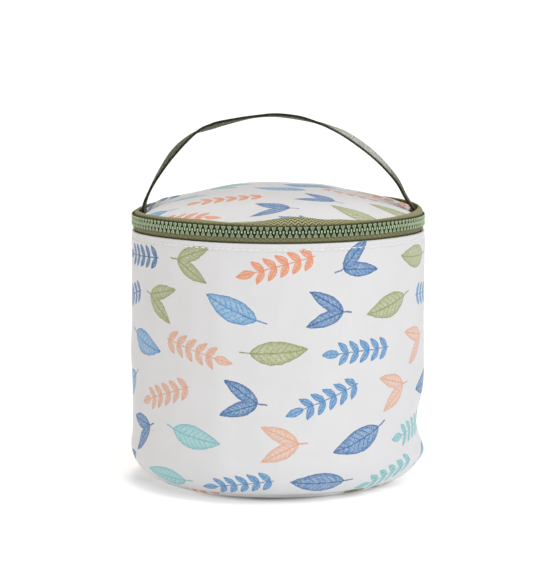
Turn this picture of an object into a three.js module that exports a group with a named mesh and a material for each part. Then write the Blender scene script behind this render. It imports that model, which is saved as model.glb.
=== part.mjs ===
import * as THREE from 'three';
import { mergeVertices } from 'three/addons/utils/BufferGeometryUtils.js';

// Driving dimensions in millimetres, with +Z up and the front of the bag towards -Y
const RADIUS = 80; // outside of the side wall
const CLOTH = 2; // padded, coated cloth
const CLEAR = 0.3; // gap that neighbouring pieces keep
const HEM_Z = 138.3; // folded top edge of the side wall at the front
const SIDE_DIP = { deep: 1.3, spread: 28, from: 96 }; // hem and zip sink at the handle ends
const BASE_TURN = { least: 20.2, more: 2.6, at: 34, spread: 65 }; // wall to base, fuller at front right
const SEAM_TURN = 62; // degrees down that turn to the base seam
const SEAM_GAP = 0.9; // degrees between wall and base panel
const STEPS = 56; // divisions round the bag

const TAPE = 1; // zip tape thickness
const TAPE_RADIUS = RADIUS - CLOTH - CLEAR - TAPE / 2; // middle of the tape behind the hem
const TAPE_STEP = { out: 1.4, above: 0.4, high: 1.4 }; // tape steps out again above the hem
const CHAIN_RADIUS = TAPE_RADIUS + TAPE_STEP.out; // middle of the tape under the teeth
const TAPE_FOOT_Z = 131; // lower tape's edge behind the hem
const CHAIN_Z = 144.35; // line where the two rows of teeth meet
const TAPE_PART = 1.5; // tape edges stand off that line
const RIM_BEND_Z = 146.9; // upper tape starts to curl in
const RIM_ROLL = { out: 0.6, up: 0.36 }; // bulge of the curl

const TEETH = 133; // teeth in each row
const TEETH_IN = CHAIN_RADIUS + TAPE / 2 + CLEAR;
const TEETH_OUT = RADIUS;
const TOOTH = { foot: 2.85, root: 2.05, tip: 0.5, tipHalf: 0.14 }; // tipHalf is a share of the pitch
const HINGE_HALF = 18; // degrees each way from the back
const HINGE_GAP = 0.25; // degrees

const CROWN_Z = 159.4; // middle of the lid
const DOME_POWER = 2.33;
const LID_SEAM = 0.38; // lid's edge stands off the seam line, with the gap
const LID_FADE = [0.9, 1]; // shares of the radius over which its ridges die out
const NOTCH = { edge: 71.5, half: 12 }; // lid's radius beside the handle, over so many degrees

const STRAP = { wide: 15, thick: 1.5, steps: 46 };
const SLIDER = { azimuth: 152, half: 4.4, high: 10.5, thick: 1.8, tabHalf: 2.6, tab: 19 };

// Soft folds and dents of the wall: azimuth from the front towards +X, depth inwards
const FOLDS = [
  { at: 92, z: 33.7, depth: 4.35, spread: 26, rise: 13.4 },
  { at: 92, z: 15.2, depth: -1.75, spread: 34, rise: 3.8 },
  { at: -94, z: 10.4, depth: -1, spread: 44, rise: 11.3 },
  { at: -13, z: 88, depth: 0.9, spread: 9, rise: 52 },
  { at: 22, z: 70, depth: -0.5, spread: 12, rise: 55 },
  { at: 50, z: 78, depth: 0.8, spread: 9, rise: 46 },
  { at: -50, z: 62, depth: 0.7, spread: 11, rise: 55 },
  { at: 138, z: 64, depth: 1.3, spread: 18, rise: 44 },
  { at: -136, z: 72, depth: 1.2, spread: 20, rise: 44 },
  { at: 180, z: 52, depth: 1.4, spread: 16, rise: 36 },
];
const FOLD_FADE = { low: [2.5, 8], high: [116, 129] }; // seam and hem stay round

// Wavy seam between upper tape and lid: height, how far in it lies, how far the lid's edge sinks below it
const RIM_ROWS = [
  { at: -180, z: 149.4, inset: 2.1, sink: 0.7 },
  { at: -120, z: 147.4, inset: 1.6, sink: 0.3 },
  { at: -90, z: 147, inset: 1.2, sink: 0.4 },
  { at: -74, z: 147.9, inset: 1.3, sink: 0.7 },
  { at: -34, z: 149.1, inset: 1.9, sink: 0.7 },
  { at: -16, z: 148.4, inset: 1.3, sink: 0.7 },
  { at: 7, z: 151.6, inset: 4, sink: 0.7 },
  { at: 21, z: 149.8, inset: 2.5, sink: 0.7 },
  { at: 40, z: 148.3, inset: 1.2, sink: 0.7 },
  { at: 62, z: 148.5, inset: 1.4, sink: 0.7 },
  { at: 90, z: 149.6, inset: 1, sink: 2.4 },
  { at: 120, z: 149.8, inset: 1.6, sink: 1.6 },
  { at: 150, z: 149.4, inset: 2.1, sink: 0.7 },
  { at: 180, z: 149.4, inset: 2.1, sink: 0.7 },
];

// Ridges and dimples of the lid, a row for each soft bump
const LID_FOLDS = [
  { x: 4, y: -6, up: 0.9, wide: 34, deep: 9 },
  { x: 2, y: 12, up: -0.5, wide: 40, deep: 9 },
  { x: -5, y: 34, up: 1.7, wide: 44, deep: 15 },
  { x: -64, y: 20, up: 1.5, wide: 10, deep: 40 },
  { x: -19, y: -58, up: -0.9, wide: 12, deep: 8 },
  { x: 30, y: -50, up: 0.7, wide: 18, deep: 12 },
  { x: -46, y: -28, up: 0.6, wide: 16, deep: 18 },
];

// Middle line of the handle and how far its outer face turns to the front
const STRAP_ROWS = [
  { x: -72.9, z: 146, twist: -1.5 },
  { x: -72.9, z: 150.5, twist: -2 },
  { x: -70.8, z: 156.3, twist: -0.7 },
  { x: -66.9, z: 164, twist: 1.7 },
  { x: -60.8, z: 173.7, twist: 6 },
  { x: -56.1, z: 179.7, twist: 7.3 },
  { x: -51, z: 184.8, twist: 4.2 },
  { x: -45.6, z: 189.1, twist: -1.6 },
  { x: -41, z: 191.4, twist: -9.2 },
  { x: -36.4, z: 193, twist: -12 },
  { x: -31.7, z: 194.5, twist: -12.2 },
  { x: -19.8, z: 197.2, twist: -7.5 },
  { x: -12, z: 198.5, twist: -5.4 },
  { x: -3.3, z: 199.2, twist: -7.2 },
  { x: 4.7, z: 198.7, twist: -8.4 },
  { x: 12.8, z: 197.4, twist: -8.1 },
  { x: 20.8, z: 195.2, twist: -4.1 },
  { x: 27.1, z: 193, twist: -1.2 },
  { x: 37, z: 188.4, twist: 5.5 },
  { x: 49.3, z: 179.8, twist: 7.5 },
  { x: 58.1, z: 171.5, twist: 6 },
  { x: 64.9, z: 163.2, twist: 4.5 },
  { x: 69, z: 155.5, twist: 2.9 },
  { x: 71.9, z: 150.9, twist: 1.6 },
  { x: 73.9, z: 147.8, twist: 0.8 },
  { x: 74.2, z: 145.5, twist: 0.3 },
];

const rad = THREE.MathUtils.degToRad;
const soft = THREE.MathUtils.smoothstep;
const turnFrom = (a, b) => Math.abs(THREE.MathUtils.euclideanModulo(a - b + 180, 360) - 180);
const bell = (distance, width) => Math.exp(-((distance / width) ** 2));

function place(azimuth, radius, z) {
  const a = rad(azimuth);
  return new THREE.Vector3(radius * Math.sin(a), -radius * Math.cos(a), z);
}

// Builds a closed solid from rings of corners; open runs get flat ends
function solidFrom(rings, outline) {
  const size = rings[0].length;
  const faces = [];
  const closed = outline === null;
  const spans = closed ? rings.length : rings.length - 1;
  for (let i = 0; i < spans; i += 1) {
    const here = i * size;
    const there = ((i + 1) % rings.length) * size;
    for (let j = 0; j < size; j += 1) {
      const k = (j + 1) % size;
      faces.push([here + j, there + j, there + k], [here + j, there + k, here + k]);
    }
  }
  if (!closed) {
    const last = (rings.length - 1) * size;
    for (const [a, b, c] of THREE.ShapeUtils.triangulateShape(outline, [])) {
      faces.push([a, b, c], [last + a, last + c, last + b]);
    }
  }
  return fromFaces(rings.flat(), faces);
}

function fromFaces(corners, faces) {
  const raw = new THREE.BufferGeometry().setFromPoints(corners);
  raw.setIndex(faces.flat());
  const joined = mergeVertices(raw, 1e-3);
  const index = Array.from(joined.index.array);
  const kept = [];
  for (let i = 0; i < index.length; i += 3) {
    const [a, b, c] = index.slice(i, i + 3);
    if (a !== b && b !== c && c !== a) {
      kept.push(a, b, c);
    }
  }
  joined.setIndex(kept);
  joined.computeVertexNormals();
  return joined;
}

function sweepRound(profileAt, azimuths) {
  return azimuths.map((azimuth) => profileAt(azimuth).map(([r, z]) => place(azimuth, r, z)));
}

const allRound = Array.from({ length: STEPS }, (_, i) => (i * 360) / STEPS);

// Azimuths of an open run, on the same divisions as the full rings
function stations(from, to) {
  const step = 360 / STEPS;
  const inner = [];
  for (let i = Math.ceil((from + 1) / step); i * step < to - 1; i += 1) {
    inner.push(i * step);
  }
  return [from, ...inner, to];
}

function openRun(profileAt, from, to) {
  const outline = profileAt(from).map(([r, z]) => new THREE.Vector2(r, z));
  return solidFrom(sweepRound(profileAt, stations(from, to)), outline);
}

function foldDepth(azimuth, z) {
  const fade = soft(z, ...FOLD_FADE.low) * (1 - soft(z, ...FOLD_FADE.high));
  let depth = 0;
  for (const fold of FOLDS) {
    depth += fold.depth * bell(turnFrom(azimuth, fold.at), fold.spread) * bell(z - fold.z, fold.rise);
  }
  return depth * fade;
}

// How far hem and zip have sunk at this azimuth
function sideDip(azimuth) {
  const { deep, spread } = SIDE_DIP;
  return deep * (bell(turnFrom(azimuth, 90), spread) + bell(turnFrom(azimuth, -90), spread));
}

// Point on the turn between wall and base, for a cloth face that lies inside the outer one
function onTurn(azimuth, degrees, inside) {
  const { least, more, at, spread } = BASE_TURN;
  const turn = least + more * bell(turnFrom(azimuth, at), spread);
  const a = rad(degrees);
  return [RADIUS - turn + (turn - inside) * Math.cos(a), turn - (turn - inside) * Math.sin(a)];
}

// Side wall: tube that starts on the turn above the base seam and ends in the hem
const WALL_TURNS = [SEAM_TURN - SEAM_GAP, 48, 32, 16, 0];
const WALL_LEVELS = [28, 35, 42, 54, 74, 96, 118, 132];
const HEM = { lip: 0.35, round: 0.7 };

function wallProfile(azimuth) {
  const outer = WALL_TURNS.map((turn) => onTurn(azimuth, turn, 0));
  const inner = WALL_TURNS.map((turn) => onTurn(azimuth, turn, CLOTH));
  for (const z of WALL_LEVELS) {
    outer.push([RADIUS, z]);
    inner.push([RADIUS - CLOTH, z]);
  }
  outer.push([RADIUS + HEM.lip, HEM_Z - HEM.round], [RADIUS - HEM.round, HEM_Z]);
  inner.push([RADIUS - CLOTH, HEM_Z]);
  const loop = [...outer, ...inner.reverse()];
  const dip = sideDip(azimuth);
  return loop.map(([r, z]) => [r - foldDepth(azimuth, z), z - dip * soft(z, SIDE_DIP.from, HEM_Z)]);
}

// Base: flat round panel with its edge turned up to the seam
const BASE_TURNS = [90, 76, SEAM_TURN];

function baseProfile(azimuth) {
  const outer = BASE_TURNS.map((turn) => onTurn(azimuth, turn, 0));
  const inner = BASE_TURNS.map((turn) => onTurn(azimuth, turn, CLOTH));
  return [[0, 0], ...outer, ...inner.reverse(), [0, CLOTH]];
}

// Seam between upper tape and lid
function rimAt(azimuth) {
  const a = THREE.MathUtils.euclideanModulo(azimuth + 180, 360) - 180;
  const i = Math.max(1, RIM_ROWS.findIndex((row) => row.at >= a));
  const [low, high] = [RIM_ROWS[i - 1], RIM_ROWS[i]];
  const t = soft(a, low.at, high.at);
  const between = (column) => THREE.MathUtils.lerp(low[column], high[column], t);
  return { r: TAPE_RADIUS - between('inset'), z: between('z'), sink: between('sink') };
}

function lidProfile(azimuth) {
  const rim = rimAt(azimuth);
  const nearHandle = Math.min(turnFrom(azimuth, 90), turnFrom(azimuth, -90));
  const notch = Math.exp(-((nearHandle / NOTCH.half) ** 4));
  const edge = THREE.MathUtils.lerp(rim.r - LID_SEAM - CLEAR, NOTCH.edge, notch);
  const shares = [0, 0.25, 0.48, 0.68, 0.84, 0.95, 1];
  const top = shares.map((share) => {
    const r = edge * share;
    const p = place(azimuth, r, 0);
    const seam = rim.z - rim.sink;
    let z = seam + (CROWN_Z - seam) * (1 - share ** DOME_POWER);
    for (const fold of LID_FOLDS) {
      const fade = 1 - soft(share, ...LID_FADE);
      z += fold.up * bell(p.x - fold.x, fold.wide) * bell(p.y - fold.y, fold.deep) * fade;
    }
    return [r, z];
  });
  const under = top.map(([r, z]) => [r, z - CLOTH]);
  return [...under, ...top.reverse()];
}

// Thick band along a middle line of [radius, z] points
function band(line, thick) {
  const points = line.map(([r, z]) => new THREE.Vector2(r, z));
  const outer = [];
  const inner = [];
  points.forEach((p, i) => {
    const before = points[Math.max(0, i - 1)];
    const after = points[Math.min(points.length - 1, i + 1)];
    const along = after.clone().sub(before).normalize();
    outer.push([p.x + (along.y * thick) / 2, p.y - (along.x * thick) / 2]);
    inner.push([p.x - (along.y * thick) / 2, p.y + (along.x * thick) / 2]);
  });
  return [...outer, ...inner.reverse()];
}

function rimCurl(azimuth) {
  const rim = rimAt(azimuth);
  const bend = RIM_BEND_Z - sideDip(azimuth);
  const middle = [(CHAIN_RADIUS + rim.r) / 2 + RIM_ROLL.out, (bend + rim.z) / 2 + RIM_ROLL.up];
  return [[CHAIN_RADIUS, bend], middle, [rim.r, rim.z]];
}

// Tape from its foot behind the hem to where it steps out over the hem
function tapeFoot(azimuth) {
  const step = HEM_Z + TAPE_STEP.above;
  const points = [
    [TAPE_RADIUS, TAPE_FOOT_Z],
    [TAPE_RADIUS, step],
    [CHAIN_RADIUS, step + TAPE_STEP.high],
  ];
  return points.map(([r, z]) => [r, z - sideDip(azimuth)]);
}

const atTeeth = (azimuth, z) => [CHAIN_RADIUS, z - sideDip(azimuth)];
const lowerTape = (a) => band([...tapeFoot(a), atTeeth(a, CHAIN_Z - TAPE_PART)], TAPE);
const upperTape = (a) => band([atTeeth(a, CHAIN_Z + TAPE_PART), ...rimCurl(a)], TAPE);
const hingeStrip = (a) => band([...tapeFoot(a), ...rimCurl(a)], TAPE);

// One row of teeth: a zigzag comb bent round the bag, up is 1 for the lower row and -1 for the upper
function toothRow(up, shift) {
  const from = -180 + HINGE_HALF + HINGE_GAP * 2;
  const pitch = (2 * -from) / (TEETH + 0.5);
  const corners = [];
  const faces = [];
  const column = (azimuth, level) => {
    const z = level - sideDip(azimuth);
    corners.push(place(azimuth, TEETH_OUT, z), place(azimuth, TEETH_IN, z));
    return corners.length - 2;
  };
  const quad = (a, b, c, d) => faces.push([a, b, c], [a, c, d]);
  const footZ = CHAIN_Z - up * TOOTH.foot;
  const rootZ = CHAIN_Z - up * TOOTH.root;
  const tipZ = CHAIN_Z + up * TOOTH.tip;
  let foot = column(from + shift * pitch, footZ);
  let root = column(from + shift * pitch, rootZ);
  quad(foot + 1, foot, root, root + 1);
  for (let i = 0; i < TEETH; i += 1) {
    const end = from + (shift + i + 1) * pitch;
    const middle = end - pitch / 2;
    const left = column(middle - TOOTH.tipHalf * pitch, tipZ);
    const right = column(middle + TOOTH.tipHalf * pitch, tipZ);
    const nextFoot = column(end, footZ);
    const nextRoot = column(end, rootZ);
    quad(foot, nextFoot, nextRoot, root);
    quad(root, nextRoot, right, left);
    quad(nextFoot + 1, foot + 1, root + 1, nextRoot + 1);
    quad(nextRoot + 1, root + 1, left + 1, right + 1);
    quad(root, left, left + 1, root + 1);
    quad(left, right, right + 1, left + 1);
    quad(right, nextRoot, nextRoot + 1, right + 1);
    quad(nextFoot, foot, foot + 1, nextFoot + 1);
    foot = nextFoot;
    root = nextRoot;
  }
  quad(foot, foot + 1, root + 1, root);
  return fromFaces(corners, up > 0 ? faces : faces.map(([a, b, c]) => [a, c, b]));
}

// Slider with its pull, one plate that hangs outside the chain
function sliderPlate() {
  const { half, high, thick, tabHalf, tab } = SLIDER;
  const shape = new THREE.Shape();
  shape.moveTo(-tabHalf, -high / 2 - tab);
  shape.lineTo(tabHalf, -high / 2 - tab);
  shape.lineTo(tabHalf, -high / 2);
  shape.lineTo(half, -high / 4);
  shape.lineTo(half, high / 4);
  shape.lineTo(tabHalf, high / 2);
  shape.lineTo(-tabHalf, high / 2);
  shape.lineTo(-half, high / 4);
  shape.lineTo(-half, -high / 4);
  shape.lineTo(-tabHalf, -high / 2);
  const plate = new THREE.ExtrudeGeometry(shape, { depth: thick, bevelEnabled: false });
  plate.rotateX(Math.PI / 2);
  plate.translate(0, -TEETH_OUT - CLEAR, CHAIN_Z);
  plate.rotateZ(rad(SLIDER.azimuth));
  return plate;
}

// Handle: flat strap along its rows, turned about its own middle line
function strapSolid() {
  const path = new THREE.CatmullRomCurve3(STRAP_ROWS.map((row) => new THREE.Vector3(row.x, 0, row.z)));
  const turn = new THREE.CatmullRomCurve3(STRAP_ROWS.map((row) => new THREE.Vector3(row.twist, 0, 0)));
  const section = [[-0.5, -0.5], [0.5, -0.5], [0.5, 0.5], [-0.5, 0.5]];
  const rings = [];
  for (let i = 0; i <= STRAP.steps; i += 1) {
    const t = i / STRAP.steps;
    const along = path.getTangent(t);
    const out = new THREE.Vector3(-along.z, 0, along.x);
    const front = new THREE.Vector3(0, -1, 0);
    const twist = rad(turn.getPoint(t).x);
    out.applyAxisAngle(along, twist);
    front.applyAxisAngle(along, twist);
    const middle = path.getPoint(t);
    rings.push(section.map(([w, h]) => middle.clone()
      .addScaledVector(front, w * STRAP.wide)
      .addScaledVector(out, h * STRAP.thick)));
  }
  const outline = section.map(([w, h]) => new THREE.Vector2(w * STRAP.wide, h * STRAP.thick));
  return solidFrom(rings, outline);
}

const finish = (name, color, roughness) => new THREE.MeshStandardMaterial({ name, color, roughness });
const printedCloth = finish('printed_cloth', '#dcdad9', 0.5);
const zipTape = finish('zip_tape', '#7d7c5c', 0.85);
const zipTeeth = finish('zip_teeth', '#6f7c60', 0.4);
const webbing = finish('webbing', '#62664f', 0.7);

const zipEnd = 180 - HINGE_HALF - HINGE_GAP;
const pieces = [
  ['side_wall', solidFrom(sweepRound(wallProfile, allRound), null), printedCloth],
  ['base_panel', solidFrom(sweepRound(baseProfile, allRound), null), printedCloth],
  ['lid_panel', solidFrom(sweepRound(lidProfile, allRound), null), printedCloth],
  ['lower_zip_tape', openRun(lowerTape, -zipEnd, zipEnd), zipTape],
  ['upper_zip_tape', openRun(upperTape, -zipEnd, zipEnd), zipTape],
  ['lower_zip_teeth', toothRow(1, 0), zipTeeth],
  ['upper_zip_teeth', toothRow(-1, 0.5), zipTeeth],
  ['zip_slider', sliderPlate(), zipTeeth],
  ['back_hinge', openRun(hingeStrip, 180 - HINGE_HALF, 180 + HINGE_HALF), zipTape],
  ['handle_strap', strapSolid(), webbing],
];

const bag = new THREE.Group();
bag.name = 'snack_bag';
for (const [name, geometry, material] of pieces) {
  const mesh = new THREE.Mesh(geometry, material);
  mesh.name = name;
  bag.add(mesh);
}

export default bag;
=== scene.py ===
import math

import bmesh
import bpy
import numpy as np
from mathutils import Euler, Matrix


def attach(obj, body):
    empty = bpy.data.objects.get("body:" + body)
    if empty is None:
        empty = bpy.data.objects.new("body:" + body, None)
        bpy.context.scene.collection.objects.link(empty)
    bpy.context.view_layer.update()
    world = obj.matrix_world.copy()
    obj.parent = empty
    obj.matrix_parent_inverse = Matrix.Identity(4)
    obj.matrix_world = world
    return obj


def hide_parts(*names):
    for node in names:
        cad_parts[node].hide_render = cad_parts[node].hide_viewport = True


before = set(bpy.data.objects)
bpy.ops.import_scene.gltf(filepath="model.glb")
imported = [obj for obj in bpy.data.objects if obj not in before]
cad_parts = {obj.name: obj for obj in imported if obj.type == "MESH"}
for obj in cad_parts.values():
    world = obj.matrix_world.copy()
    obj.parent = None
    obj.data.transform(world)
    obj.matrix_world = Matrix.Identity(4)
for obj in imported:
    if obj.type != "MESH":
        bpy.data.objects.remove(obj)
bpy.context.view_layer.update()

# Sizes in millimetres and degrees, as in the solids; azimuth runs from the front (-Y) towards +X
MM = 0.001
RADIUS = 80.0
CLOTH = 2.0
CLEAR = 0.3
HEM_Z = 138.3
DIP_DEEP = 1.3
DIP_SPREAD = 28.0
DIP_FROM = 96.0
TURN_LEAST = 20.2
TURN_MORE = 2.6
TURN_AT = 34.0
TURN_SPREAD = 65.0
SEAM_TURN = 62.0
TAPE = 1.0
TAPE_RADIUS = RADIUS - CLOTH - CLEAR - TAPE / 2
TAPE_STEP = 1.4
CHAIN_RADIUS = TAPE_RADIUS + TAPE_STEP
TAPE_FOOT_Z = 131.0
CHAIN_Z = 144.35
TAPE_PART = 1.5
RIM_BEND_Z = 146.9
RIM_ROLL = 0.6
TEETH = 133
TEETH_IN = CHAIN_RADIUS + TAPE / 2 + CLEAR
TEETH_OUT = RADIUS
HINGE_HALF = 18.0
HINGE_GAP = 0.25
ZIP_END = 180 - HINGE_HALF - HINGE_GAP
CROWN_Z = 159.4
DOME_POWER = 2.33
NOTCH_EDGE = 71.5
NOTCH_HALF = 12.0
STRAP_WIDE = 15.0
STRAP_THICK = 1.5

# Soft folds and dents of the wall: azimuth, height, depth inwards, spread in degrees, rise in mm
FOLDS = [
    dict(at=92, z=33.7, depth=4.35, spread=26, rise=13.4),
    dict(at=92, z=15.2, depth=-1.75, spread=34, rise=3.8),
    dict(at=-94, z=10.4, depth=-1.0, spread=44, rise=11.3),
    dict(at=-13, z=88, depth=0.9, spread=9, rise=52),
    dict(at=22, z=70, depth=-0.5, spread=12, rise=55),
    dict(at=50, z=78, depth=0.8, spread=9, rise=46),
    dict(at=-50, z=62, depth=0.7, spread=11, rise=55),
    dict(at=138, z=64, depth=1.3, spread=18, rise=44),
    dict(at=-136, z=72, depth=1.2, spread=20, rise=44),
    dict(at=180, z=52, depth=1.4, spread=16, rise=36),
]
FOLD_LOW = (2.5, 8)
FOLD_HIGH = (116, 129)

# Wavy seam between upper tape and lid: height, how far in it lies, how far the lid's edge sinks below it
RIM_ROWS = [
    dict(at=-180, z=149.4, inset=2.1, sink=0.7),
    dict(at=-120, z=147.4, inset=1.6, sink=0.3),
    dict(at=-90, z=147.0, inset=1.2, sink=0.4),
    dict(at=-74, z=147.9, inset=1.3, sink=0.7),
    dict(at=-34, z=149.1, inset=1.9, sink=0.7),
    dict(at=-16, z=148.4, inset=1.3, sink=0.7),
    dict(at=7, z=151.6, inset=4.0, sink=0.7),
    dict(at=21, z=149.8, inset=2.5, sink=0.7),
    dict(at=40, z=148.3, inset=1.2, sink=0.7),
    dict(at=62, z=148.5, inset=1.4, sink=0.7),
    dict(at=90, z=149.6, inset=1.0, sink=2.4),
    dict(at=120, z=149.8, inset=1.6, sink=1.6),
    dict(at=150, z=149.4, inset=2.1, sink=0.7),
    dict(at=180, z=149.4, inset=2.1, sink=0.7),
]

# Ridges and dimples of the lid
LID_FOLDS = [
    dict(x=4, y=-6, up=0.9, wide=34, deep=9),
    dict(x=2, y=12, up=-0.5, wide=40, deep=9),
    dict(x=-5, y=34, up=1.7, wide=44, deep=15),
    dict(x=-64, y=20, up=1.5, wide=10, deep=40),
    dict(x=-19, y=-58, up=-0.9, wide=12, deep=8),
    dict(x=30, y=-50, up=0.7, wide=18, deep=12),
    dict(x=-46, y=-28, up=0.6, wide=16, deep=18),
    dict(x=-25, y=14, up=0.7, wide=12, deep=22),
    dict(x=5, y=14, up=-0.3, wide=13, deep=22),
    dict(x=24, y=14, up=0.5, wide=9, deep=22),
    dict(x=38, y=14, up=-0.5, wide=6, deep=22),
]

# Handle: x and z of its middle line, and the degrees that its outer face turns to the front
STRAP_ROWS = [
    (-72.9, 146, -1.5),
    (-72.9, 150.5, -2),
    (-70.8, 156.3, -0.7),
    (-66.9, 164, 1.7),
    (-60.8, 173.7, 6),
    (-56.1, 179.7, 7.3),
    (-51, 184.8, 4.2),
    (-45.6, 189.1, -1.6),
    (-41, 191.4, -9.2),
    (-36.4, 193, -12),
    (-31.7, 194.5, -12.2),
    (-19.8, 197.2, -7.5),
    (-12, 198.5, -5.4),
    (-3.3, 199.2, -7.2),
    (4.7, 198.7, -8.4),
    (12.8, 197.4, -8.1),
    (20.8, 195.2, -4.1),
    (27.1, 193, -1.2),
    (37, 188.4, 5.5),
    (49.3, 179.8, 7.5),
    (58.1, 171.5, 6),
    (64.9, 163.2, 4.5),
    (69, 155.5, 2.9),
    (71.9, 150.9, 1.6),
    (73.9, 147.8, 0.8),
    (74.2, 145.5, 0.3),
]

rng = np.random.default_rng(11)


# Shape helpers
def bell(distance, width):
    return np.exp(-((distance / width) ** 2))


def turn_from(a, b):
    return np.abs((a - b + 180) % 360 - 180)


def ease(x, low, high):
    t = np.clip((x - low) / (high - low), 0, 1)
    return t * t * (3 - 2 * t)


def place(azimuth, radius, z):
    a = np.radians(azimuth)
    x, y, z = np.broadcast_arrays(radius * np.sin(a), -radius * np.cos(a), z)
    return np.stack([x, y, z], -1)


def soft_bumps(rows, size, azimuth, z):
    """Sum of soft bumps on the wall, a row for each."""
    total = 0
    for row in rows:
        around = bell(turn_from(azimuth, row["at"]), row["spread"])
        total = total + row[size] * around * bell(z - row["z"], row["rise"])
    return total


def fold_depth(azimuth, z):
    """How far the wall is folded in; seam and hem stay round."""
    fade = ease(z, *FOLD_LOW) * (1 - ease(z, *FOLD_HIGH))
    return soft_bumps(FOLDS, "depth", azimuth, z) * fade


def waves(azimuth, counts, size):
    """Small uneven ripples round the bag, each of a whole number of waves."""
    total = 0
    for count in counts:
        start = rng.uniform(0, 2 * math.pi)
        total = total + np.sin(np.radians(azimuth) * count + start) * rng.uniform(0.5, 1)
    return total * size / len(counts)


def side_dip(azimuth):
    """How far hem and zip have sunk at this azimuth."""
    return DIP_DEEP * (bell(turn_from(azimuth, 90), DIP_SPREAD) + bell(turn_from(azimuth, -90), DIP_SPREAD))


def rim_value(azimuth, key):
    a = (azimuth + 180) % 360 - 180
    value = np.zeros_like(a)
    for low, high in zip(RIM_ROWS, RIM_ROWS[1:]):
        here = (a >= low["at"]) & (a <= high["at"])
        value = np.where(here, low[key] + (high[key] - low[key]) * ease(a, low["at"], high["at"]), value)
    return value


def rim_r(azimuth):
    return TAPE_RADIUS - rim_value(azimuth, "inset")


# Mesh helpers
def link_piece(name, mesh):
    piece = bpy.data.objects.new(name, mesh)
    bpy.context.scene.collection.objects.link(piece)
    return piece


def quad_grid(nu, nv, wrap_round, wrap_profile):
    """Where each quad of a grid lies in it, and the numbers of its corners."""
    i = np.arange(nu if wrap_round else nu - 1)
    j = np.arange(nv if wrap_profile else nv - 1)
    ii, jj = np.meshgrid(i, j, indexing="ij")
    i1 = (ii + 1) % nu
    j1 = (jj + 1) % nv
    quads = np.stack([ii * nv + jj, i1 * nv + jj, i1 * nv + j1, ii * nv + j1], -1)
    return ii, jj, quads.reshape(-1, 4).tolist()


def grid_piece(name, points, uv, wrap_round, wrap_profile, capped=False):
    """A smooth quad mesh from a grid of points in mm; uv is one longer than the grid each way."""
    nu, nv = points.shape[:2]
    ii, jj, quads = quad_grid(nu, nv, wrap_round, wrap_profile)
    corners = np.stack([uv[ii, jj], uv[ii + 1, jj], uv[ii + 1, jj + 1], uv[ii, jj + 1]], 2)
    corners = corners.reshape(-1, 2)
    if capped:
        first = list(range(nv))
        last = [(nu - 1) * nv + k for k in reversed(first)]
        quads += [first, last]
        corners = np.concatenate([corners, uv[0, first], uv[nu - 1, first[::-1]]])
    mesh = bpy.data.meshes.new(name)
    mesh.from_pydata((points.reshape(-1, 3) * MM).tolist(), [], quads)
    layer = mesh.uv_layers.new(name="cloth")
    layer.data.foreach_set("uv", corners.astype(np.float32).ravel())
    mesh.shade_smooth()
    return link_piece(name, mesh)


def loft_piece(name, stacks):
    """A smooth mesh of closed lofts, each a stack of rings of points in mm."""
    verts = []
    faces = []
    for rings in stacks:
        levels, count = rings.shape[:2]
        first = list(range(count))
        last = [(levels - 1) * count + k for k in reversed(first)]
        quads = quad_grid(levels, count, False, True)[2]
        faces += [[len(verts) + k for k in face] for face in quads + [first, last]]
        verts += (rings.reshape(-1, 3) * MM).tolist()
    mesh = bpy.data.meshes.new(name)
    mesh.from_pydata(verts, [], faces)
    bm = bmesh.new()
    bm.from_mesh(mesh)
    bmesh.ops.recalc_face_normals(bm, faces=bm.faces)
    bm.to_mesh(mesh)
    bm.free()
    mesh.shade_smooth()
    return link_piece(name, mesh)


def close_pole(piece, reach=1e-6):
    """Joins the points that meet on the bag's axis."""
    bm = bmesh.new()
    bm.from_mesh(piece.data)
    on_axis = [v for v in bm.verts if math.hypot(v.co.x, v.co.y) < reach]
    bmesh.ops.remove_doubles(bm, verts=on_axis, dist=reach)
    bm.to_mesh(piece.data)
    bm.free()


def paint_value(piece, name, values):
    layer = piece.data.attributes.new(name, "FLOAT", "POINT")
    layer.data.foreach_set("value", np.clip(values, 0, 1).astype(np.float32).ravel())


def finish_piece(piece, node, material):
    piece.data.materials.append(material)
    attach(piece, "root")
    if node:
        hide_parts(node)


# Node helpers
class Value:
    """A number in a node tree that Python operators combine."""

    def __init__(self, tree, socket):
        self.tree = tree
        self.socket = socket

    def op(self, operation, *others):
        node = self.tree.nodes.new("ShaderNodeMath")
        node.operation = operation
        for slot, item in zip(node.inputs, (self, *others)):
            feed(self.tree, item, slot)
        return Value(self.tree, node.outputs[0])

    def __add__(self, other):
        return self.op("ADD", other)

    def __sub__(self, other):
        return self.op("SUBTRACT", other)

    def __mul__(self, other):
        return self.op("MULTIPLY", other)

    def __truediv__(self, other):
        return self.op("DIVIDE", other)

    def __pow__(self, other):
        return self.op("POWER", other)

    def __abs__(self):
        return self.op("ABSOLUTE")

    def __mod__(self, other):
        return self.op("FLOORED_MODULO", other)

    def floor(self):
        return self.op("FLOOR")

    def sin(self):
        return self.op("SINE")

    def cos(self):
        return self.op("COSINE")

    def at_least(self, other):
        return self.op("MAXIMUM", other)

    def at_most(self, other):
        return self.op("MINIMUM", other)

    def fade(self, start, end):
        """Goes smoothly from 0 at start to 1 at end, which may be the lower one."""
        node = self.tree.nodes.new("ShaderNodeMapRange")
        node.interpolation_type = "SMOOTHSTEP"
        feed(self.tree, self, node.inputs["Value"])
        feed(self.tree, start, node.inputs["From Min"])
        feed(self.tree, end, node.inputs["From Max"])
        return Value(self.tree, node.outputs["Result"])


def feed(tree, item, slot):
    if isinstance(item, Value):
        tree.links.new(item.socket, slot)
    else:
        slot.default_value = item


def new_material(name):
    material = bpy.data.materials.new(name)
    material.use_nodes = True
    return material, material.node_tree, material.node_tree.nodes["Principled BSDF"]


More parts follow.
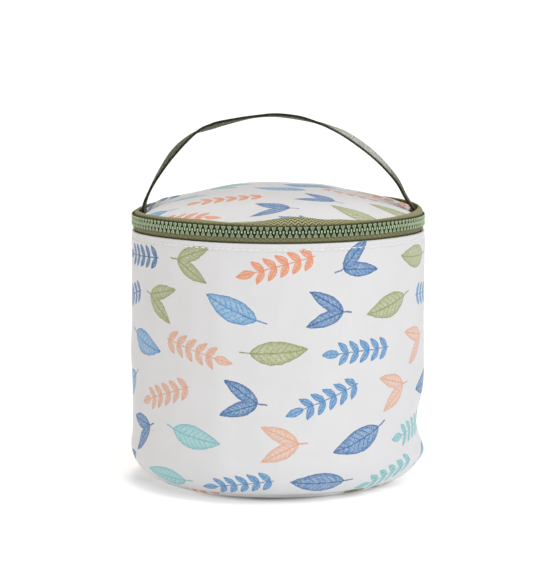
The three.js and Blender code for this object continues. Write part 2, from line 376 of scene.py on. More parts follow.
def split_vector(tree, vector):
    node = tree.nodes.new("ShaderNodeSeparateXYZ")
    tree.links.new(vector, node.inputs[0])
    return [Value(tree, output) for output in node.outputs]


def set_surface(shader, roughness, specular=0.5):
    shader.inputs["Roughness"].default_value = roughness
    shader.inputs["Specular IOR Level"].default_value = specular


def cloth_uv(tree):
    """Millimetres across and along the cloth."""
    uv = tree.nodes.new("ShaderNodeUVMap")
    uv.uv_map = "cloth"
    return split_vector(tree, uv.outputs["UV"])[:2]


def pack_vector(tree, x, y, z=0.0):
    node = tree.nodes.new("ShaderNodeCombineXYZ")
    for item, slot in zip((x, y, z), node.inputs):
        feed(tree, item, slot)
    return node.outputs[0]


def noise(tree, vector, scale, detail=2.0, roughness=0.5):
    node = tree.nodes.new("ShaderNodeTexNoise")
    node.inputs["Scale"].default_value = scale
    node.inputs["Detail"].default_value = detail
    node.inputs["Roughness"].default_value = roughness
    tree.links.new(vector, node.inputs["Vector"])
    return Value(tree, node.outputs["Fac"])


def mix_colour(tree, share, a, b):
    node = tree.nodes.new("ShaderNodeMix")
    node.data_type = "RGBA"
    feed(tree, share, node.inputs["Factor"])
    for item, slot in ((a, node.inputs["A"]), (b, node.inputs["B"])):
        if isinstance(item, bpy.types.NodeSocket):
            tree.links.new(item, slot)
        else:
            slot.default_value = (*item, 1.0)
    return node.outputs["Result"]


def bump(tree, shader, height, distance_mm, strength=1.0):
    node = tree.nodes.new("ShaderNodeBump")
    node.inputs["Strength"].default_value = strength
    node.inputs["Distance"].default_value = distance_mm * MM
    tree.links.new(height.socket, node.inputs["Height"])
    tree.links.new(node.outputs["Normal"], shader.inputs["Normal"])


def vertex_value(tree, name):
    node = tree.nodes.new("ShaderNodeAttribute")
    node.attribute_name = name
    return Value(tree, node.outputs["Fac"])


# Printed cloth
# Inks of the print: fill and line
INKS = dict(
    deep_blue=[(0.085, 0.250, 0.500), (0.022, 0.095, 0.265)],
    coral=[(0.790, 0.385, 0.235), (0.690, 0.235, 0.105)],
    sky_blue=[(0.170, 0.400, 0.650), (0.055, 0.205, 0.440)],
    teal=[(0.290, 0.600, 0.630), (0.160, 0.430, 0.460)],
    olive=[(0.390, 0.425, 0.200), (0.240, 0.275, 0.095)],
    salmon=[(0.760, 0.510, 0.400), (0.640, 0.340, 0.230)],
)
INK_ORDER = ["deep_blue", "coral", "sky_blue", "teal", "deep_blue", "salmon", "sky_blue", "olive"]
CLOTH_COLOUR = (0.696, 0.702, 0.715)
CLOTH_DULL = 0.975
CLOTH_WEAVE = 0.55
# Painted shade along the base seam: its colour and how much of it is mixed in
SEAM_SHADE_COLOUR = (0.055, 0.045, 0.040)
SEAM_SHADE_SHARE = 0.85
LINING_COLOURS = [(0.62, 0.61, 0.6), (0.7, 0.69, 0.68)]

# Layout of the print: columns round the bag, row height, then how far motifs turn and shift by chance
COLUMNS = 11
CELL_W = 2 * math.pi * RADIUS / COLUMNS
CELL_H = 23.4
MOTIF_TURN = 0.9
MOTIF_SHIFT = (5.0, 3.0)
HAND_WOBBLE = 1.1

# Leaves in mm, and where their soft lines start and end
LEAVES = dict(
    single=dict(length=31.0, width=6.3, vein_gap=3.4),
    side=dict(length=8.6, width=1.9, vein_gap=2.2),
    tip=dict(length=10.5, width=2.3, vein_gap=2.4),
    pair=dict(length=22.0, width=3.9, vein_gap=2.6),
)
LEAF_OUTLINE = (0.12, -0.12)
LEAF_ENDS = (0.1, -0.1)
LEAF_RIM = (-0.8, -0.2)
LEAF_RIB = (0.5, 0.22)
LEAF_VEIN = (0.13, 0.05)
LEAF_SHADE = (-2.6, -0.3)
VEIN_SLANT = 0.9
VEIN_SHARE = 0.8
SPRIG_SLOT = 6.6
SIDE_LEAF_TURN = 46
PAIR_TURN = 25


def leaf(x, y, length, width, vein_gap):
    """Body of a leaf, its dark lines (edge, midrib, veins) and the shaded zone along its edge."""
    t = (x / length + 0.5).at_least(0.0).at_most(1.0)
    half = (((t ** 0.8) * math.pi).sin().at_least(0.0) ** 0.85) * width
    edge = abs(y) - half
    body = edge.fade(*LEAF_OUTLINE) * (abs(x) - length / 2).fade(*LEAF_ENDS)
    rim = edge.fade(*LEAF_RIM)
    rib = abs(y).fade(*LEAF_RIB)
    slant = x - abs(y) * VEIN_SLANT
    vein = abs((slant / vein_gap) % 1.0 - 0.5).fade(*LEAF_VEIN)
    shade = edge.fade(*LEAF_SHADE)
    return body, rim.at_least(rib).at_least(vein * VEIN_SHARE) * body, shade * body


def stalk(x, y, first, last, line=(0.55, 0.3), soft=0.6):
    """A thin stalk from one x to another."""
    return abs(y).fade(*line) * (x - first).fade(0.0, soft) * (x - last).fade(soft, 0.0)


def turned(x, y, angle):
    c, s = math.cos(angle), math.sin(angle)
    return x * c + y * s, y * c - x * s


def single_leaf(x, y):
    bent = y - ((x / 17.0) ** 2.0) * 1.2
    body, line, shade = leaf(x - 1.5, bent, **LEAVES["single"])
    return body, line.at_least(stalk(x, bent, -20.0, -13.0)), shade


def sprig(x, y):
    slot = SPRIG_SLOT
    near = (x / slot - (x / slot).floor() - 0.5) * slot + 2.6
    side_x, side_y = turned(near, abs(y), math.radians(SIDE_LEAF_TURN))
    body, line, shade = leaf(side_x - 4.4, side_y, **LEAVES["side"])
    inside = (x + slot * 3).fade(-0.01, 0.0) * (x - slot * 1.98).fade(0.01, 0.0)
    tip, tip_line, tip_shade = leaf(x - slot * 2 - 4.6, y, **LEAVES["tip"])
    stem = stalk(x, y, -slot * 3 - 1.0, slot * 2 + 4, (0.5, 0.25), 0.5)
    body = (body * inside).at_least(tip)
    return body, (line * inside).at_least(tip_line).at_least(stem), (shade * inside).at_least(tip_shade)


def leaf_pair(x, y):
    pair_x, pair_y = turned(x + 11.0, abs(y), math.radians(PAIR_TURN))
    body, line, shade = leaf(pair_x - 11.5, pair_y, **LEAVES["pair"])
    return body, line.at_least(stalk(x, y, -16.0, -9.5)), shade


def ink_colours(tree, which):
    """The chosen ink as it fills a leaf, and as it draws lines."""
    outputs = []
    for tone in range(2):
        ramp = tree.nodes.new("ShaderNodeValToRGB")
        ramp.color_ramp.interpolation = "CONSTANT"
        stops = ramp.color_ramp.elements
        while len(stops) < len(INK_ORDER):
            stops.new(0.5)
        for k, ink in enumerate(INK_ORDER):
            stops[k].position = k / len(INK_ORDER)
            stops[k].color = (*INKS[ink][tone], 1.0)
        tree.links.new(which.socket, ramp.inputs["Fac"])
        outputs.append(ramp.outputs["Color"])
    return outputs


def leaf_print(tree, u, v, ground):
    """The ground cloth with a scattered leaf print in half-drop rows."""
    wobble = noise(tree, pack_vector(tree, u, v), 0.35) - 0.5
    u = u + wobble * HAND_WOBBLE
    v = v + (noise(tree, pack_vector(tree, v, u), 0.35) - 0.5) * HAND_WOBBLE
    row = (v / CELL_H).floor()
    across = u / CELL_W + (row % 2.0) * 0.5
    col = across.floor() % float(COLUMNS)
    x0 = (across - across.floor() - 0.5) * CELL_W
    y0 = (v / CELL_H - row - 0.5) * CELL_H
    chance = tree.nodes.new("ShaderNodeTexWhiteNoise")
    chance.noise_dimensions = "3D"
    tree.links.new(pack_vector(tree, col, row, 3.0), chance.inputs["Vector"])
    r1, r2, r3 = split_vector(tree, chance.outputs["Color"])
    tilt = (r1 - 0.5) * MOTIF_TURN
    flip = ((r2 * 2.0).floor() - 0.5) * 2.0
    x1 = (x0 - (r3 - 0.5) * MOTIF_SHIFT[0]) * flip
    y1 = y0 - (r2 - 0.5) * MOTIF_SHIFT[1]
    x = x1 * tilt.cos() + y1 * tilt.sin()
    y = y1 * tilt.cos() - x1 * tilt.sin()

    kind = (col + row * 2.0) % 3.0
    motifs = []
    for number, motif in enumerate((single_leaf, sprig, leaf_pair)):
        chosen = abs(kind - float(number)).fade(0.6, 0.4)
        motifs.append([part * chosen for part in motif(x, y)])
    body, line, shade = (a + b + c for a, b, c in zip(*motifs))
    wash = noise(tree, pack_vector(tree, u, v, 7.0), 0.22, 3.0).fade(0.3, 0.75)
    stipple = noise(tree, pack_vector(tree, u, v, 2.0), 1.3, 2.0, 0.7).fade(0.43, 0.57)
    grain = noise(tree, pack_vector(tree, u, v, 5.0), 2.4, 1.0).fade(0.42, 0.58)
    fill = body * (wash * 0.08 + stipple * 0.36 + 0.54)
    count = float(len(INK_ORDER))
    ink, line_ink = ink_colours(tree, ((col * 3.0 + row * 5.0) % count + 0.5) / count)
    printed = mix_colour(tree, fill, ground, ink)
    drawn = (line * (stipple * 0.25 + 0.7)).at_least(shade * grain * 0.8)
    return mix_colour(tree, drawn, printed, line_ink)


def weave_height(u, v, pitch):
    """Plain weave: two sets of threads that go over and under in turn."""
    warp = (u * (2 * math.pi / pitch)).sin()
    weft = (v * (2 * math.pi / pitch)).sin()
    return warp * weft


def stripes(x, pitch):
    """Goes from 0 to 1 and back once in each pitch."""
    return (x * (2 * math.pi / pitch)).sin() * 0.5 + 0.5


def printed_cloth():
    material, tree, shader = new_material("printed_cloth")
    u, v = cloth_uv(tree)
    mottle = noise(tree, pack_vector(tree, u, v, 4.0), 0.06, 4.0)
    dull = tuple(c * CLOTH_DULL for c in CLOTH_COLOUR)
    printed = leaf_print(tree, u, v, mix_colour(tree, mottle.fade(0.3, 0.7), dull, CLOTH_COLOUR))
    # Painted shade along the base seam, from the "seam" value of wall and base
    colour = mix_colour(tree, vertex_value(tree, "seam") * SEAM_SHADE_SHARE, printed, SEAM_SHADE_COLOUR)
    tree.links.new(colour, shader.inputs["Base Color"])
    set_surface(shader, 0.5, 0.4)
    crumple = noise(tree, pack_vector(tree, u, v, 9.0), 0.12, 3.0)
    bump(tree, shader, weave_height(u, v, CLOTH_WEAVE) * 0.5 + crumple * 4.0, 0.05)
    return material


def plain_lining():
    material, tree, shader = new_material("plain_lining")
    u, v = cloth_uv(tree)
    mottle = noise(tree, pack_vector(tree, u, v), 0.2, 3.0)
    tree.links.new(mix_colour(tree, mottle, *LINING_COLOURS), shader.inputs["Base Color"])
    set_surface(shader, 0.7)
    bump(tree, shader, weave_height(u, v, CLOTH_WEAVE), 0.04)
    return material


# Olive zip tape, woven in small chevrons that show most at the front of the rim, with shade painted darker
# into its creases, its groove and behind the teeth
TAPE_COLOURS = [(0.058, 0.060, 0.018), (0.570, 0.560, 0.320)]
TAPE_SHADE_COLOUR = (0.020, 0.020, 0.009)
TAPE_SHADE_SHARE = 0.85
CHEVRON = 3.6
TAPE_THREAD = 1.9
TAPE_SPECK = 1.3
WEAVE_MEAN = 0.32
TAPE_LEVEL = 0.29


def zip_tape():
    material, tree, shader = new_material("zip_tape")
    u, v = cloth_uv(tree)
    chevron = abs((u / CHEVRON) % 1.0 - 0.5) * CHEVRON
    thread = stripes(chevron + v, TAPE_THREAD)
    speck = stripes(u, TAPE_SPECK)
    fuzz = noise(tree, pack_vector(tree, u, v), 1.2, 3.0, 0.6)
    weave = vertex_value(tree, "weave")
    raised = thread.fade(0.25, 0.75) * (speck * 0.4 + 0.6) * 0.8 - WEAVE_MEAN
    share = raised * weave + fuzz.fade(0.25, 0.75) * 0.2 + TAPE_LEVEL
    woven = mix_colour(tree, share, *TAPE_COLOURS)
    # Painted shade in the tape's creases, its groove and behind the teeth
    colour = mix_colour(tree, vertex_value(tree, "tape_shade") * TAPE_SHADE_SHARE, woven, TAPE_SHADE_COLOUR)
    tree.links.new(colour, shader.inputs["Base Color"])
    set_surface(shader, 0.85, 0.15)
    bump(tree, shader, thread * speck * weave + fuzz * 0.6, 0.2)
    return material


# Moulded plastic of the teeth, with shade painted dark and dull into their gaps and highlights painted pale
# and glossy on their rims and heads
PLASTIC_COLOURS = [(0.020, 0.038, 0.015), (0.385, 0.490, 0.300)]
PLASTIC_GLOSS = 0.45


def zip_plastic():
    material, tree, shader = new_material("zip_plastic")
    where = tree.nodes.new("ShaderNodeTexCoord").outputs["Object"]
    cloud = noise(tree, where, 300.0, 2.0)
    fine = noise(tree, where, 2500.0, 2.0)
    # Painted light and shade of the teeth, and the slider's even tone, set colour and gloss
    tone_and_painted_light = vertex_value(tree, "tone_and_painted_light") * (cloud * 0.5 + 0.75)
    colour = mix_colour(tree, tone_and_painted_light, *PLASTIC_COLOURS)
    tree.links.new(colour, shader.inputs["Base Color"])
    tree.links.new((cloud * 0.12 + 0.22).socket, shader.inputs["Roughness"])
    tree.links.new((tone_and_painted_light * PLASTIC_GLOSS).socket, shader.inputs["Specular IOR Level"])
    bump(tree, shader, fine, 0.015)
    return material


# Flat olive webbing of the handle, with a pale sheen painted where its outer face turns to the light
WEB_RIB = 1.3
WEB_THREAD = 1.25
WEB_DARK = [(0.030, 0.032, 0.014), (0.250, 0.260, 0.165)]
WEB_PAINTED_SHEEN = [(0.240, 0.262, 0.228), (0.690, 0.740, 0.670)]
# Painted shade on the webbing's edges: its colour and how much is mixed in
WEB_EDGE_SHADE = (0.008, 0.009, 0.004)
WEB_EDGE_SHADE_SHARE = 0.9


def strap_webbing():
    material, tree, shader = new_material("strap_webbing")
    u, v = cloth_uv(tree)
    rib = stripes(v, WEB_RIB)
    thread = stripes(u, WEB_THREAD)
    fuzz = noise(tree, pack_vector(tree, u, v), 1.5, 3.0, 0.6)
    float_yarn = noise(tree, pack_vector(tree, u * 0.4, v, 3.0), 1.5, 2.0, 0.6).fade(0.4, 0.64)
    share = rib * thread * 0.45 + float_yarn * 0.55
    dark_face = mix_colour(tree, share, *WEB_DARK)
    painted_sheen_face = mix_colour(tree, share, *WEB_PAINTED_SHEEN)
    # Painted sheen on the outer face where it is turned to the light
    face = mix_colour(tree, vertex_value(tree, "painted_sheen"), dark_face, painted_sheen_face)
    # Painted shade darkens both edges of the webbing
    side = (abs(u - STRAP_WIDE / 2) - STRAP_WIDE / 2).fade(-0.7, 0.1)
    colour = mix_colour(tree, side * WEB_EDGE_SHADE_SHARE, face, WEB_EDGE_SHADE)
    tree.links.new(colour, shader.inputs["Base Color"])
    set_surface(shader, 0.7, 0.12)
    bump(tree, shader, rib + thread * 0.7 + fuzz * 0.5, 0.12)
    return material


THREAD_COLOURS = [(0.76, 0.76, 0.76), (0.92, 0.92, 0.92)]


def white_thread():
    material, tree, shader = new_material("white_thread")
    where = tree.nodes.new("ShaderNodeTexCoord").outputs["Object"]
    twist = noise(tree, where, 1800.0, 2.0)
    tree.links.new(mix_colour(tree, twist, *THREAD_COLOURS), shader.inputs["Base Color"])
    set_surface(shader, 0.55)
    bump(tree, shader, twist, 0.05)
    return material


# Pieces
AROUND = 420
ring = np.arange(AROUND) * 360 / AROUND


def way_round(r, z):
    """Length along a closed profile up to each of its points, and back to the first."""
    step = np.hypot(np.diff(r, append=r[0]), np.diff(z, append=z[0]))
    return np.concatenate([[0], np.cumsum(step)])


def uv_grid(across, along):
    return np.stack(np.meshgrid(across, along, indexing="ij"), -1)


# Painted shade along the seam round the base: azimuth, how dark, spread in degrees
SEAM_SHADES = [
    dict(at=10, dark=0.25, spread=14),
    dict(at=36, dark=0.9, spread=5),
    dict(at=51, dark=0.9, spread=3),
    dict(at=68, dark=1.0, spread=8),
    dict(at=-50, dark=0.1, spread=9),
    dict(at=170, dark=0.4, spread=10),
]


def round_sum(rows, size, azimuth):
    """Sum of soft rows round the bag."""
    return sum(row[size] * bell(turn_from(azimuth, row["at"]), row["spread"]) for row in rows)


# Painted shade along the base seam at each azimuth
def seam_shade(azimuth):
    return round_sum(SEAM_SHADES, "dark", azimuth)


def base_turn(azimuth):
    return TURN_LEAST + TURN_MORE * bell(turn_from(azimuth, TURN_AT), TURN_SPREAD)


def on_turn(azimuth, degrees, inside):
    """Radius and height on the turn from wall to base, for a face that lies inside the outer one."""
    turn = base_turn(azimuth)
    a = np.radians(degrees)
    return RADIUS - turn + (turn - inside) * np.cos(a), turn - (turn - inside) * np.sin(a)


TURN_ROWS = 24
WALL_ROWS = 92
INNER_LEVELS = [HEM_Z, 130, 116, 98, 82, 66, 54, 44, 36, 30]
BELOW_HEM = [-4.5, -4.25, -4.1, -3.95, -3.7, -3.4, -3.2, -3.0, -2.8, -2.5, -2.0, -1.5, -1.0, -0.6]
LIP_TURNS = [25, 50, 75, 90]
LIP_ROUND = 0.5
HEM_STITCH_Z = HEM_Z - 3.0
STITCH_DIMPLE = 0.22
HEM_STEP_Z = HEM_Z - 4.1
HEM_STEP = 0.34
WALL_TOP_Z = HEM_STEP_Z - 0.7
INNER_CALM = (100, 118)
SLIDER_AT = 152.0
SEAM_GAP = 0.9
SEAM_GROOVE = 0.7
GROOVE_IN = 0.5
GROOVE_UP = 0.85
GROOVE_ROWS = 1.2
SEAM_ROWS = 2.2

# Where the hem is pressed flat, at both sides and under the slider: azimuth, depth, spread in degrees
HEM_PRESSED = [
    dict(at=-90, deep=0.6, spread=30),
    dict(at=90, deep=0.5, spread=24),
    dict(at=SLIDER_AT, deep=0.75, spread=5),
]

# Small waves of the wall: all over, at the base seam and under the hem
DRIFT = dict(counts=(5, 8, 11, 14), size=0.4)
DRIFT_LEVELS = (28, 55, 90)
DRIFT_RISE = 22
PUCKER = dict(counts=(23, 37, 52, 61), size=0.5)
PUCKER_FADE = (17, 4)
HANG = dict(counts=(31, 44, 58), size=0.16)
HANG_Z = 131
HANG_RISE = 9
RELIEF_LOW = (1.5, 4.5)
RELIEF_HIGH = (114, 132)

# Faint upright ridges of the cloth and two bulges of its left side: azimuth, height, how far out,
# spread in degrees, rise in mm
RIPPLES = [
    dict(at=-23, z=78, out=0.42, spread=5, rise=55),
    dict(at=10, z=62, out=0.34, spread=5.5, rise=55),
    dict(at=38, z=84, out=0.34, spread=5, rise=42),
    dict(at=-62, z=80, out=0.38, spread=7, rise=50),
    dict(at=66, z=92, out=0.3, spread=6, rise=34),
    dict(at=-90, z=69, out=0.85, spread=24, rise=13),
    dict(at=-92, z=17, out=0.5, spread=22, rise=8),
    dict(at=160, z=70, out=0.4, spread=7, rise=46),
    dict(at=-160, z=74, out=0.4, spread=7, rise=46),
]


def hem_out(azimuth):
    """How far the turned hem stands out of the wall."""
    return HEM_STEP - round_sum(HEM_PRESSED, "deep", azimuth)


def wall_relief(az, z):
    """Hem step, stitch dimple, ripples and base puckers on the outer face, in mm outwards."""
    hem = hem_out(az) * ease(z, HEM_STEP_Z - 0.2, HEM_STEP_Z + 0.2)
    hem = hem - STITCH_DIMPLE * bell(z - HEM_STITCH_Z, 0.4)
    upright = soft_bumps(RIPPLES, "out", az, z)
    drift = 0
    for height in DRIFT_LEVELS:
        drift = drift + waves(az, **DRIFT) * bell(z - height, DRIFT_RISE)
    pucker = waves(az, **PUCKER) * ease(z, *PUCKER_FADE)
    hang = waves(az, **HANG) * bell(z - HANG_Z, HANG_RISE)
    soft = (upright + drift) * (1 - ease(z, *RELIEF_HIGH)) + pucker + hang
    return hem + soft * ease(z, *RELIEF_LOW)


# Cloth simulation of the wall's outer skin, sewn at hem and base, on every third column and row
SKIN_FIRST = 13
SKIN_STEP = 3
SKIN_FRAMES = 20
SKIN_CAP = 0.5
SKIN_WAVES = 36
SKIN_SEWN = 2
SKIN_BLUR = np.array([1, 2, 3, 2, 1]) / 9
SIDE_CALM = 0.75
SIDE_SPREAD = 24
SKIN_CLOTH = dict(
    quality=8,
    mass=0.05,
    shear_stiffness=5.0,
    use_pressure=True,
    uniform_pressure_force=0.3,
    shrink_min=-0.01,
    shrink_max=-0.01,
)


def settle(points):
    """Lets a ring of cloth sag a little and returns where it ends; all in mm."""
    nu, nv = points.shape[:2]
    quads = quad_grid(nu, nv, True, False)[2]
    mesh = bpy.data.meshes.new("skin")
    mesh.from_pydata((points.reshape(-1, 3) * MM).tolist(), [], quads)
    skin = link_piece("skin", mesh)
    scene = bpy.context.scene
    row = np.tile(np.arange(nv), nu)
    sewn = np.nonzero((row < SKIN_SEWN) | (row >= nv - SKIN_SEWN))[0].tolist()
    skin.vertex_groups.new(name="sewn").add(sewn, 1.0, "REPLACE")
    cloth = skin.modifiers.new("cloth", "CLOTH")
    cloth.settings.vertex_group_mass = "sewn"
    for setting, value in SKIN_CLOTH.items():
        setattr(cloth.settings, setting, value)
    cloth.point_cache.frame_start = 1
    cloth.point_cache.frame_end = SKIN_FRAMES
    for step in range(1, SKIN_FRAMES + 1):
        scene.frame_set(step)
    settled = skin.evaluated_get(bpy.context.evaluated_depsgraph_get())
    ends = np.empty(nu * nv * 3)
    settled.data.vertices.foreach_get("co", ends)
    bpy.data.objects.remove(skin)
    bpy.data.meshes.remove(mesh)
    scene.frame_set(1)
    return ends.reshape(nu, nv, 3) / MM


def wall_creases(az, r, z, last):
    """How far the simulated skin moves outwards, in mm; little at the sides, whose outline is modelled."""
    rows = np.arange(SKIN_FIRST, last, SKIN_STEP)
    start = r[::SKIN_STEP, rows]
    ends = settle(place(az[::SKIN_STEP], start, z[::SKIN_STEP, rows]))
    out = np.hypot(ends[..., 0], ends[..., 1]) - start
    out = SKIN_CAP * np.tanh((out - out.mean(0)) / SKIN_CAP)
    kept = np.fft.rfft(out, axis=0)[:SKIN_WAVES]
    fine = np.fft.irfft(kept, n=AROUND, axis=0) * AROUND / len(out)
    every = np.arange(r.shape[1])
    spread = np.stack([np.interp(every, rows, line, left=0, right=0) for line in fine])
    spread = np.apply_along_axis(np.convolve, 1, spread, SKIN_BLUR, "same")
    side = np.minimum(turn_from(az, 90), turn_from(az, -90))
    return spread * (1 - SIDE_CALM * bell(side, SIDE_SPREAD))


def side_wall(material, lining):
    az = ring[:, None]
    r_turn, z_turn = on_turn(az, np.linspace(SEAM_TURN - SEAM_GAP, 0, TURN_ROWS)[None, :], 0)
    share = np.linspace(0, 1, WALL_ROWS + 1)[1:][None, :]
    z_wall = z_turn[:, -1:] + (WALL_TOP_Z - z_turn[:, -1:]) * share
    z_hem = HEM_Z + np.array(BELOW_HEM)[None, :] + 0 * az
    lip = np.radians(LIP_TURNS)[None, :] + 0 * az
    outer_z = np.concatenate([z_turn, z_wall, z_hem, HEM_Z - LIP_ROUND + LIP_ROUND * np.sin(lip)], 1)
    straight = np.full((AROUND, WALL_ROWS + len(BELOW_HEM)), RADIUS)
    outer_r = np.concatenate([r_turn, straight, RADIUS - LIP_ROUND + LIP_ROUND * np.cos(lip)], 1)
    relief = wall_relief(az, outer_z)
    outer_r = outer_r - fold_depth(az, outer_z) + relief
    outer_r = outer_r + wall_creases(az, outer_r, outer_z, z_turn.shape[1] + WALL_ROWS)
    groove = SEAM_GROOVE * bell(np.arange(outer_r.shape[1])[None, :], GROOVE_ROWS)
    outer_r = outer_r - groove * GROOVE_IN
    outer_z = outer_z + groove * GROOVE_UP
    inner_turns = np.linspace(0, SEAM_TURN - SEAM_GAP, TURN_ROWS // 3)[None, :]
    r_in, z_in = on_turn(az, inner_turns, CLOTH)
    down = np.array(INNER_LEVELS)[None, :] + 0 * az
    inner_z = np.concatenate([down, z_in], 1)
    inner_r = np.concatenate([0 * down + RADIUS - CLOTH, r_in], 1) - fold_depth(az, inner_z)
    inner_r = inner_r + np.minimum(wall_relief(az, inner_z), 0) * (1 - ease(inner_z, *INNER_CALM))
    r = np.concatenate([outer_r, inner_r], 1)
    z = np.concatenate([outer_z, inner_z], 1)
    points = place(az, r, z - side_dip(az) * ease(z, DIP_FROM, HEM_Z))
    along = way_round(r[0], z[0])
    across = np.arange(AROUND + 1) * 2 * math.pi * RADIUS / AROUND
    piece = grid_piece("side_wall_cloth", points, uv_grid(across, along), True, True)
    finish_piece(piece, "side_wall", material)
    # Painted shade along the base seam
    paint_value(piece, "seam", seam_shade(az) * bell(np.arange(r.shape[1])[None, :], SEAM_ROWS))
    piece.data.materials.append(lining)
    outer = outer_r.shape[1]
    profile = np.tile(np.arange(r.shape[1]), AROUND)
    index = np.where((profile >= outer) & (profile < r.shape[1] - 1), 1, 0)
    piece.data.polygons.foreach_set("material_index", index.astype(np.int32))


DISC_SHIFT = 300


def disc_uv(points, rows):
    """Flat cloth coordinates of a round panel, seen from above."""
    uv = np.zeros((AROUND + 1, rows + 1, 2))
    uv[:, :-1] = np.concatenate([points, points[:1]])[..., :2] + DISC_SHIFT
    return uv


BASE_ROWS = 30
BASE_TURN_ROWS = 14
BASE_GROOVE_WIDE = 2.5
BASE_SEAM_ROWS = 5.0


def base_panel(material):
    az = ring[:, None]
    turns = np.linspace(90, SEAM_TURN, BASE_TURN_ROWS)[None, :]
    r_out, z_out = on_turn(az, turns, 0)
    r_in, z_in = on_turn(az, turns[:, ::-1], CLOTH)
    groove = SEAM_GROOVE * bell(turns - SEAM_TURN, BASE_GROOVE_WIDE)
    r_out, z_out = r_out - groove * GROOVE_IN, z_out + groove * GROOVE_UP
    flat = np.linspace(0, 1, BASE_ROWS, endpoint=False)[None, :] * (RADIUS - base_turn(az))
    r = np.concatenate([flat, r_out, r_in, flat[:, ::-1]], 1)
    z = np.concatenate([0 * flat, z_out, z_in, 0 * flat + CLOTH], 1)
    points = place(az, r, z)
    piece = grid_piece("base_cloth", points, disc_uv(points, r.shape[1]), True, False)
    rows = np.arange(points.shape[1])[None, :] - BASE_ROWS - BASE_TURN_ROWS + 1
    # Painted shade along the base seam
    paint_value(piece, "seam", seam_shade(az) * bell(rows, BASE_SEAM_ROWS))
    close_pole(piece)
    finish_piece(piece, "base_panel", material)


# Lid: how far its edge goes under the tape and how far below at least, then its rows and small waves
LID_LAP = 0.15
LID_SINK = 0.6
LID_ROWS = 44
LID_EDGE_ROWS = 16
LID_EDGE = 0.9
LID_TUCK = 2.2
TUCK_FROM = 0.95
UNDER_STEP = 3
GATHERS = dict(counts=(27, 41, 55), size=0.35)
GATHERS_AT, GATHERS_WIDE = 0.94, 0.05
LID_DRIFT = dict(counts=(4, 7, 9), size=0.35)
DRIFT_AT, DRIFT_WIDE = 0.6, 0.2


def lid_panel(material):
    az = ring[:, None]
    near = np.minimum(turn_from(az, 90), turn_from(az, -90))
    notch = np.exp(-((near / NOTCH_HALF) ** 4))
    sewn = rim_r(az) + LID_LAP
    edge = sewn + (NOTCH_EDGE - sewn) * notch
    seam = rim_value(az, "z") - np.maximum(rim_value(az, "sink"), LID_SINK)
    middle = np.linspace(0, LID_EDGE, LID_ROWS, endpoint=False)
    share = np.concatenate([middle, np.linspace(LID_EDGE, 1, LID_EDGE_ROWS)])[None, :]
    r = edge * share
    z = seam + (CROWN_Z - seam) * (1 - share ** DOME_POWER)
    flat = place(az, r, 0 * r)
    fade = 1 - ease(share, LID_EDGE, 1)
    for fold in LID_FOLDS:
        across = bell(flat[..., 0] - fold["x"], fold["wide"])
        z = z + fold["up"] * across * bell(flat[..., 1] - fold["y"], fold["deep"]) * fade
    gathers = waves(az, **GATHERS) * bell(share - GATHERS_AT, GATHERS_WIDE)
    drift = waves(az, **LID_DRIFT) * bell(share - DRIFT_AT, DRIFT_WIDE)
    tuck = LID_TUCK * notch * ease(share, TUCK_FROM, 1)
    z = z + gathers + drift - tuck
    under_share = share[:, ::-UNDER_STEP]
    under = np.stack([np.interp(under_share[0], share[0], zi) for zi in z]) - CLOTH
    r = np.concatenate([edge * under_share[:, ::-1], r[:, ::-1]], 1)
    z = np.concatenate([under[:, ::-1], z[:, ::-1]], 1)
    points = place(az, r, z)
    piece = grid_piece("lid_cloth", points, disc_uv(points, r.shape[1]), True, False)
    close_pole(piece)
    finish_piece(piece, "lid_panel", material)


# Zip tapes: out of the hem, up under the teeth, then rolled in to the lid
TAPE_STEPS = 640
HINGE_STEPS = 80
BEHIND_ROWS = 6
RISE_ROWS = 8
LINE_ROWS = 26
TAPE_SHIFT = 600
TAPE_EDGE = 0.55
CHAIN_HALF = 2.85
STEP_LEVELS = (HEM_Z + 0.1, HEM_Z + 1.7)
FAINT_WEAVE = 0.3
WEAVE_AT, WEAVE_SPREAD = 9, 15

# Shades of the tapes: of the upper one next to the teeth, of the lower one all over, then how much more
# that one has along the hem on the left and how much less on the right
FOOT_SHADE = 0.35
LOWER_SHADE = 0.35
HEM_SHADE_LEFT = 0.4
HEM_SHADE_RIGHT = 0.22

# Groove of the upper tape above the teeth, and where it is filled: azimuth, share, spread in degrees
GROOVE_Z = 147.55
GROOVE_HALF = 0.32
TAPE_GROOVE = 0.45
GROOVE_FILLED = [dict(at=6, share=0.8, spread=26), dict(at=98, share=0.7, spread=16)]


def band(line_r, line_z, thick):
    """Both faces of a band along a middle line, as one loop; the inputs are azimuth by line point."""
    dr = np.gradient(line_r, axis=1)
    dz = np.gradient(line_z, axis=1)
    size = np.hypot(dr, dz)
    out_r, out_z = dz / size * thick / 2, -dr / size * thick / 2
    r = np.concatenate([line_r + out_r, (line_r - out_r)[:, ::-1]], 1)
    z = np.concatenate([line_z + out_z, (line_z - out_z)[:, ::-1]], 1)
    return r, z


def foot_line(az, top):
    """Middle line from the foot behind the hem up to a height under the teeth."""
    behind = np.linspace(TAPE_FOOT_Z, HEM_Z, BEHIND_ROWS, endpoint=False)[None, :] + 0 * az
    above = HEM_Z + (top - HEM_Z) * np.linspace(0, 1, LINE_ROWS)[None, :] + 0 * az
    z = np.concatenate([behind, above], 1)
    r = TAPE_RADIUS + TAPE_STEP * ease(z, *STEP_LEVELS)
    return r, z - side_dip(az)


